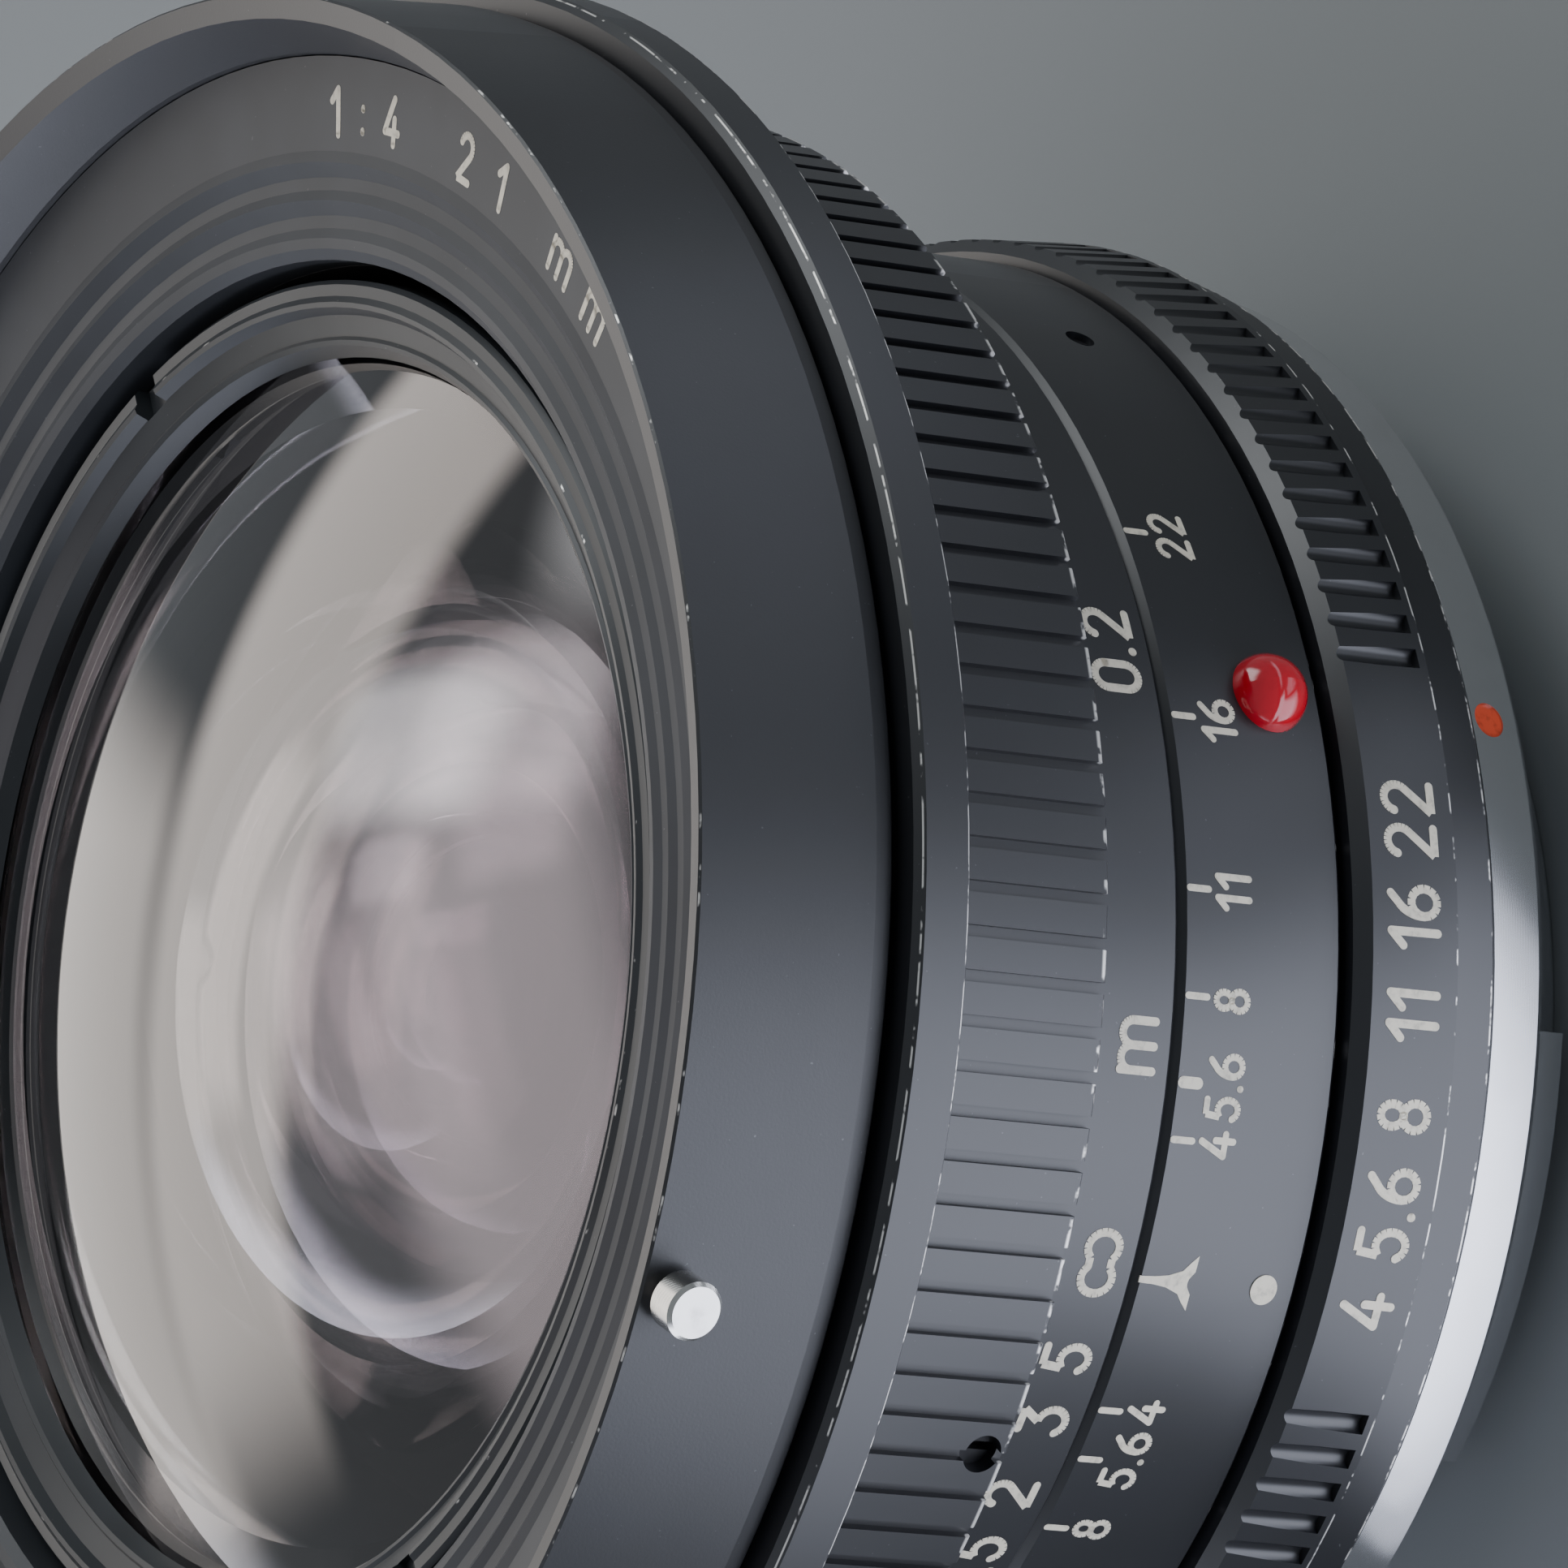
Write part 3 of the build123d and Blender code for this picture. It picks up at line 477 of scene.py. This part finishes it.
class Engraving:
    """Paint-filled strokes lying on a ring, collected into one mesh."""

    PROUD = 0.012
    DEEP = 0.05
    DISC_STEPS = 16
    LONGEST_PRISM = 0.5
    # A stroke of more points than this is a curve, whose inner corners are too blunt to need a disc.
    CURVE_POINTS = 8

    def __init__(self, name, surface):
        self.name = name
        self.surface = surface
        self.mesh = bmesh.new()

    def disc(self, mark, x, y, radius):
        """Round plate centred on x, y."""
        turns = [2 * pi * i / self.DISC_STEPS for i in range(self.DISC_STEPS)]
        self.plate(mark, [(x + radius * cos(turn), y + radius * sin(turn)) for turn in turns])

    def plate(self, mark, points):
        """Flat prism with the given outline, from just above the surface to just below it."""
        top = [self.mesh.verts.new(self.surface(mark, x, y, self.PROUD)) for x, y in points]
        low = [self.mesh.verts.new(self.surface(mark, x, y, -self.DEEP)) for x, y in points]
        count = len(points)
        self.mesh.faces.new(top)
        self.mesh.faces.new(low[::-1])
        for i in range(count):
            j = (i + 1) % count
            self.mesh.faces.new((top[j], top[i], low[i], low[j]))

    def stroke(self, mark, points, width):
        """A stroke of the given width: a chain of short prisms with discs at its corners and ends."""
        half = width / 2
        for (x0, y0), (x1, y1) in zip(points[:-1], points[1:]):
            run = hypot(x1 - x0, y1 - y0)
            if run < 1e-6:
                continue
            nx, ny = -(y1 - y0) / run * half, (x1 - x0) / run * half
            steps = max(1, int(run / self.LONGEST_PRISM))
            for i in range(steps):
                ax, ay = x0 + (x1 - x0) * i / steps, y0 + (y1 - y0) * i / steps
                bx, by = x0 + (x1 - x0) * (i + 1) / steps, y0 + (y1 - y0) * (i + 1) / steps
                near = [(ax + nx, ay + ny), (ax - nx, ay - ny)]
                far = [(bx - nx, by - ny), (bx + nx, by + ny)]
                self.plate(mark, near + far)
        corners = [points[0], points[-1]] if len(points) > self.CURVE_POINTS else points
        for x, y in corners:
            self.disc(mark, x, y, half)

    def text(self, mark, text, foot, height, width):
        """A text centred on the mark, standing on the given height, in strokes of the given width."""
        for points in text_strokes(text, height):
            self.stroke(mark, [(x, foot + y) for x, y in points], width)

    def finish(self, body, material):
        """Makes the collected strokes one piece that rides on the body."""
        data = bpy.data.meshes.new(self.name)
        bmesh.ops.recalc_face_normals(self.mesh, faces=self.mesh.faces)
        self.mesh.to_mesh(data)
        self.mesh.free()
        data.materials.append(material)
        piece = bpy.data.objects.new(self.name, data)
        bpy.context.scene.collection.objects.link(piece)
        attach(piece, body)


def on_cylinder(radius):
    """Surface map of a cylinder: u runs round it and v along +Z from z = 0."""

    def place(mark, u, v, lift):
        angle = radians(INDEX_DEG + mark) + u / radius
        r = radius + lift
        return Vector((r * cos(angle), r * sin(angle), v)) * MM

    return place


def on_cone(low, high):
    """Surface map of a cone between two circles, each a radius and a height: u round it, v is z."""
    radius_low, z_low = low
    radius_high, z_high = high

    def place(mark, u, v, lift):
        share = (v - z_low) / (z_high - z_low)
        r = radius_low + (radius_high - radius_low) * share
        angle = radians(INDEX_DEG + mark) + u / r
        return Vector(((r + lift) * cos(angle), (r + lift) * sin(angle), v)) * MM

    return place


def on_dish(inner, outer):
    """Surface map of a dish between two circles: v is the radius, and text reads clockwise from the front."""
    radius_in, z_in = inner
    radius_out, z_out = outer

    def place(mark, u, v, lift):
        share = (v - radius_in) / (radius_out - radius_in)
        angle = radians(INDEX_DEG + mark) - u / ((radius_in + radius_out) / 2)
        z = z_in + (z_out - z_in) * share + lift
        return Vector((v * cos(angle), v * sin(angle), z)) * MM

    return place


STOPS = ("4", "5.6", "8", "11", "16", "22")
NUMBER_STROKE = 0.34

APERTURE_FIRST_MARK = -0.25
APERTURE_STEP_DEG = 6.82
APERTURE_FOOT = 6.32
APERTURE_HEIGHT = 2.08

aperture_numbers = Engraving("aperture_numbers", on_cone(APERTURE_CONE_LOW, APERTURE_CONE_HIGH))
for step, stop in enumerate(STOPS):
    mark = APERTURE_FIRST_MARK + APERTURE_STEP_DEG * step
    aperture_numbers.text(mark, stop, APERTURE_FOOT, APERTURE_HEIGHT, NUMBER_STROKE)
aperture_numbers.finish("aperture_set", CREAM_PAINT)

# Degrees of depth of field on each side of the index for one unit of f-number.
DEPTH_DEG_PER_STOP = 2.53
DEPTH_FOOT = 14.35
DEPTH_HEIGHT = 1.46
DEPTH_STROKE = 0.27
TICK_LENGTH = 1.15
TICK_WIDTH = 0.27
THICK_TICK_WIDTH = 0.46
INDEX_FOOT = 14.72

depth_scale = Engraving("depth_of_field_scale", on_cylinder(DEPTH_R))
tick_high = DEPTH_HIGH - 0.3
for side in (-1, 1):
    for stop in STOPS:
        mark = side * DEPTH_DEG_PER_STOP * float(stop)
        thick = side > 0 and stop == "5.6"
        tick_width = THICK_TICK_WIDTH if thick else TICK_WIDTH
        tick = [(0, tick_high - TICK_LENGTH + tick_width / 2), (0, tick_high - tick_width / 2)]
        depth_scale.stroke(mark, tick, tick_width)
        depth_scale.text(mark - side * 0.1, stop, DEPTH_FOOT, DEPTH_HEIGHT, DEPTH_STROKE)

# The index flares from a narrow tip to a wide foot. Each row is half its width there, and the height.
tip = tick_high + 0.08
index_rows = [
    (0.13, tip),
    (0.16, tip - 0.7),
    (0.24, tip - 1.3),
    (0.46, tip - 1.9),
    (0.80, INDEX_FOOT + 0.42),
    (1.10, INDEX_FOOT + 0.12),
]
for (half_a, a), (half_b, b) in zip(index_rows[:-1], index_rows[1:]):
    depth_scale.plate(0, [(-half_a, a), (-half_b, b), (half_b, b), (half_a, a)])
depth_scale.finish("fixed_barrel", CREAM_PAINT)

# Degrees that the focusing ring turns for each millimetre the optics travel, the square of the
# focal length, and the distance from the film plane to the lens's front focus.
TURN_PER_MM = 80.5
FOCAL_SQUARED = 441.0
FOCUS_OFFSET = 87.6
INFINITY_MARK = 0.9
METRES_MARK = 16.4
DISTANCES = ("5", "3", "2", "1.5", "1", "0.7", "0.5", "0.4", "0.3", "0.25", "0.2")
DISTANCE_FOOT = 18.52
DISTANCE_HEIGHT = 2.0

distance_scale = Engraving("distance_scale", on_cylinder(DISTANCE_BAND_R))
distance_scale.text(INFINITY_MARK, "inf", DISTANCE_FOOT - 0.08, DISTANCE_HEIGHT + 0.1, NUMBER_STROKE)
distance_scale.text(METRES_MARK, "m", DISTANCE_FOOT, DISTANCE_HEIGHT + 0.05, NUMBER_STROKE)
for text in DISTANCES:
    travel = FOCAL_SQUARED / (float(text) * 1000 - FOCUS_OFFSET)
    mark = INFINITY_MARK - TURN_PER_MM * travel
    distance_scale.text(mark, text, DISTANCE_FOOT, DISTANCE_HEIGHT, NUMBER_STROKE)
distance_scale.finish("focus_set", CREAM_PAINT)

# Each character of the name ring and its mark.
LENS_TEXT = (("1", 104.0), (":", 100.4), ("4", 96.6), ("2", 86.6), ("1", 81.6), ("m", 72.0), ("m", 66.2))
LENS_TEXT_FOOT_R = 32.38
LENS_TEXT_HEIGHT = 1.75
LENS_TEXT_STROKE = 0.31

lens_data = Engraving("lens_data", on_dish(NAME_DISH_IN, (NAME_R, NAME_HIGH)))
for text, mark in LENS_TEXT:
    lens_data.text(mark, text, LENS_TEXT_FOOT_R, LENS_TEXT_HEIGHT, LENS_TEXT_STROKE)
lens_data.finish("optical_unit", CREAM_PAINT)


# ---- Studio

FLOOR_HALF_M = 6.0
FLOOR_GAP_M = 0.00002
CENTRE_M = Vector((0, 0, 0.022))
UP = Vector((0, 0, 1))
CARD_Z_M = FLOOR_Z_M + 0.0006
CARD_LAYERS = 4
CARD_LAYER_GAP_M = 0.0002
CARD_SOFTNESS = 0.14
COOL = (0.90, 0.95, 1.12)
WARM = (1.0, 0.955, 0.91)
DAYLIGHT = (0.93, 0.97, 1.0)
ROSE = (0.99, 0.92, 0.97)


def add_floor():
    """Plain paper just below the part's lowest point."""
    data = bpy.data.meshes.new("studio_floor")
    corners = [(-FLOOR_HALF_M, -FLOOR_HALF_M), (FLOOR_HALF_M, -FLOOR_HALF_M)]
    corners += [(FLOOR_HALF_M, FLOOR_HALF_M), (-FLOOR_HALF_M, FLOOR_HALF_M)]
    data.from_pydata([(x, y, FLOOR_Z_M - FLOOR_GAP_M) for x, y in corners], [], [(0, 1, 2, 3)])
    look = Look("studio_paper").set(roughness=0.9, specular_ior_level=0.1)
    color = look.mix(look.noise(60.0, 3.0), (0.235, 0.25, 0.255), (0.245, 0.26, 0.265))
    look.link(color, look.shader.inputs["Base Color"])
    data.materials.append(look.material)
    floor = bpy.data.objects.new("studio_floor", data)
    bpy.context.scene.collection.objects.link(floor)


def aimed(location, target, roll=0.0):
    """Matrix of an object at location whose -Z axis points at target."""
    look = (Vector(target) - Vector(location)).to_track_quat("-Z", "Y").to_matrix().to_4x4()
    return Matrix.Translation(location) @ look @ Matrix.Rotation(roll, 4, "Z")


def add_light(name, location, target, width, depth, power, color):
    """Rectangular area light, seen in reflections and not by the camera."""
    data = bpy.data.lights.new(name, "AREA")
    data.shape = "RECTANGLE"
    data.size = width
    data.size_y = depth
    data.energy = power
    data.color = color
    lamp = bpy.data.objects.new(name, data)
    lamp.matrix_world = aimed(location, target)
    lamp.visible_camera = False
    bpy.context.scene.collection.objects.link(lamp)


def floor_card(name, low, high, radiance):
    """Bright card on the floor between two corners in metres: layers of growing size soften its edges."""
    middle = Vector(((low[0] + high[0]) / 2, (low[1] + high[1]) / 2, CARD_Z_M))
    for layer in range(CARD_LAYERS):
        swell = 1 + CARD_SOFTNESS * (2 * layer / (CARD_LAYERS - 1) - 1)
        width, depth = (high[0] - low[0]) * swell, (high[1] - low[1]) * swell
        place = middle + UP * CARD_LAYER_GAP_M * layer
        power = radiance * pi * width * depth / CARD_LAYERS
        add_light("%s_%d" % (name, layer + 1), place, place + UP, width, depth, power, COOL)


def glowing_fabric(name, width, height, radiance, color, edge):
    """Material that glows and fades to clear towards the edges, over the given share of half the panel."""
    look = Look(name)
    split = look.tree.nodes.new("ShaderNodeSeparateXYZ")
    look.link(look.place, split.inputs[0])
    fades = []
    for socket, half in ((split.outputs[0], width / 2), (split.outputs[1], height / 2)):
        reach = look.math("ABSOLUTE", socket)
        fades.append(look.ramp(reach, half * (1 - edge), half, 1.0, 0.0))
    glow = look.tree.nodes.new("ShaderNodeEmission")
    glow.inputs["Color"].default_value = (*color, 1.0)
    glow.inputs["Strength"].default_value = radiance
    clear = look.tree.nodes.new("ShaderNodeBsdfTransparent")
    blend = look.tree.nodes.new("ShaderNodeMixShader")
    look.link(look.math("MULTIPLY", fades[0], fades[1]), blend.inputs[0])
    look.link(clear.outputs[0], blend.inputs[1])
    look.link(glow.outputs[0], blend.inputs[2])
    look.tree.nodes.remove(look.shader)
    look.link(blend.outputs[0], look.out.inputs["Surface"])
    return look.material


def panel_toward(name, direction, distance, width, height, radiance, color, edge=0.6):
    """Soft glowing panel, distance metres from the lens in the given direction and facing it."""
    x, y = width / 2, height / 2
    data = bpy.data.meshes.new(name)
    data.from_pydata([(-x, -y, 0), (x, -y, 0), (x, y, 0), (-x, y, 0)], [], [(0, 3, 2, 1)])
    data.materials.append(glowing_fabric(name + "_fabric", width, height, radiance, color, edge))
    panel = bpy.data.objects.new(name, data)
    panel.matrix_world = aimed(CENTRE_M + Vector(direction).normalized() * distance, CENTRE_M)
    panel.visible_camera = False
    bpy.context.scene.collection.objects.link(panel)


add_floor()
floor_card("card_near", (-0.013, -0.075), (0.027, -0.034), 3.2)
floor_card("card_far", (-0.060, -0.165), (0.048, -0.0755), 3.7)
floor_card("card_right", (0.033, -0.056), (0.047, -0.030), 1.2)
floor_card("card_far_right", (0.090, -0.125), (0.145, 0.010), 1.3)
panel_toward("window_high", (0.66, 0.33, 0.66), 0.75, 0.70, 0.60, 4.5, DAYLIGHT)
panel_toward("wall_upper", (-0.10, 0.80, 0.58), 1.0, 1.40, 0.44, 2.3, WARM, edge=0.4)
panel_toward("wall_lower", (-0.42, 0.90, 0.19), 1.0, 0.74, 0.62, 1.9, WARM, edge=0.4)
panel_toward("ceiling", (-0.22, 0.24, 0.94), 0.8, 1.2, 0.50, 1.7, ROSE)
panel_toward("wall_side", (-0.97, 0.05, 0.13), 0.21, 0.50, 0.20, 4.0, COOL)

world = bpy.data.worlds.new("studio_air")
bpy.context.scene.world = world
world.use_nodes = True
background = world.node_tree.nodes["Background"]
background.inputs["Color"].default_value = (0.75, 0.82, 0.88, 1.0)
background.inputs["Strength"].default_value = 0.31


# ---- Camera

CAMERA_AZIMUTH = radians(14.46)
CAMERA_ELEVATION = radians(33.32)
CAMERA_ROLL = radians(83.6)
CAMERA_DISTANCE_M = 0.5248
CAMERA_AIM_M = Vector((0.0072, 0.00945, 0.0112))
CAMERA_LENS_MM = 298.1


def add_camera():
    """Camera at an azimuth from the index side and an elevation above the floor, rolled about its view."""
    away = Vector((
        sin(CAMERA_AZIMUTH) * cos(CAMERA_ELEVATION),
        -cos(CAMERA_AZIMUTH) * cos(CAMERA_ELEVATION),
        sin(CAMERA_ELEVATION),
    ))
    data = bpy.data.cameras.new("photo_camera")
    data.lens = CAMERA_LENS_MM
    data.sensor_width = 36.0
    data.clip_start = 0.01
    camera = bpy.data.objects.new("photo_camera", data)
    camera.matrix_world = aimed(CAMERA_AIM_M + away * CAMERA_DISTANCE_M, CAMERA_AIM_M, -CAMERA_ROLL)
    bpy.context.scene.collection.objects.link(camera)
    bpy.context.scene.camera = camera


add_camera()
